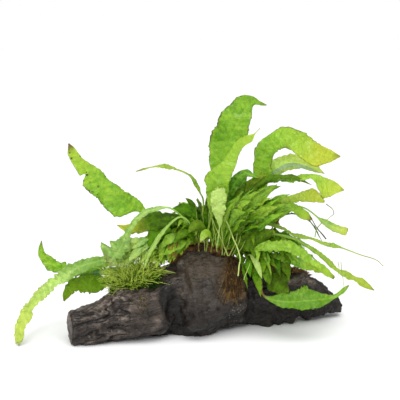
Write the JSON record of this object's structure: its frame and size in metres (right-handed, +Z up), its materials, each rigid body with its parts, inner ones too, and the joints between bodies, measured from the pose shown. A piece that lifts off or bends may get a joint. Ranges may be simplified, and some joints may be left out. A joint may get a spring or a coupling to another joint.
{
  "type": "java fern on driftwood",
  "caption": "Aquarium fern with long wavy lance-shaped leaves on creeping rhizomes, rooted with a moss tuft on a rough piece of dark driftwood.",
  "frame": {"origin": "point on the flat foot under the driftwood stump, at floor height", "axes": "+X along the whole plant towards the wood's thin right end, +Y away from the front, +Z up"},
  "size_m": [0.2793, 0.1332, 0.1833],
  "materials": {
    "driftwood": "dark waterlogged wood, fissured, satin",
    "rhizome": "brown-green fibrous stem",
    "root_fibre": "orange-brown matted root fibres",
    "moss": "soft yellow-green moss",
    "dry_moss": "dry brown moss",
    "leaf_bright": "bright green living leaf, satin, translucent",
    "leaf_pale": "pale green living leaf, satin, translucent",
    "leaf_deep": "deep green living leaf, satin, translucent",
    "leaf_olive": "olive green living leaf, satin, translucent",
    "leaf_grey": "grey-green living leaf, satin, translucent"
  },
  "bodies": {
    "root": {"driftwood_left_limb": "driftwood", "driftwood_stump": "driftwood", "driftwood_right_limb": "driftwood", "rhizome_crown": "rhizome", "rhizome_back": "rhizome", "rhizome_right": "rhizome", "rhizome_left": "rhizome", "moss_tuft": "moss", "roots_front": "root_fibre", "roots_left": "root_fibre", "moss_patch_right": "dry_moss", "leaf_tall_upright": "leaf_bright", "leaf_front_of_tall": "leaf_bright", "leaf_pale_upright": "leaf_pale", "leaf_thin_arching": "leaf_olive", "leaf_sprout_thin": "leaf_deep", "leaf_big_left": "leaf_bright", "leaf_left_dark": "leaf_deep", "leaf_left_hanging": "leaf_pale", "leaf_left_band": "leaf_deep", "leaf_front_stripe": "leaf_pale", "leaf_low_left": "leaf_deep", "leaf_left_short": "leaf_deep", "leaf_far_left_curled": "leaf_bright", "leaf_far_left_drooping": "leaf_pale", "leaf_left_low_green": "leaf_deep", "leaf_left_grey": "leaf_grey", "leaf_big_right_arch": "leaf_bright", "leaf_right_pale_under": "leaf_pale", "leaf_right_turned_end": "leaf_bright", "leaf_right_olive": "leaf_olive", "leaf_right_mid": "leaf_bright", "leaf_right_end_blade": "leaf_pale", "leaf_right_dark_thin": "leaf_deep", "leaf_right_long_thread": "leaf_olive", "leaf_right_long_twisted": "leaf_olive", "leaf_right_bright_low": "leaf_bright", "leaf_right_under_low": "leaf_bright", "leaf_low_front_right": "leaf_bright", "leaf_low_shaded": "leaf_deep", "leaf_middle_dark": "leaf_deep", "leaf_middle_rising": "leaf_bright", "leaf_middle_behind": "leaf_deep", "leaf_middle_arched": "leaf_bright", "leaf_middle_broad": "leaf_deep", "leaf_middle_right": "leaf_deep", "leaf_hanging_small": "leaf_pale", "leaf_hanging_dark": "leaf_deep", "leaf_short_front_a": "leaf_bright", "leaf_short_front_b": "leaf_deep", "leaf_short_front_c": "leaf_deep", "leaf_short_front_d": "leaf_bright", "leaf_crown_low_left": "leaf_deep", "leaf_crown_low_middle": "leaf_deep", "leaf_back_left": "leaf_bright", "leaf_back_middle": "leaf_deep", "leaf_back_second": "leaf_bright", "leaf_back_right": "leaf_deep", "leaf_back_low_right": "leaf_bright", "leaf_back_low_left": "leaf_deep"}
  },
  "joints": []
}
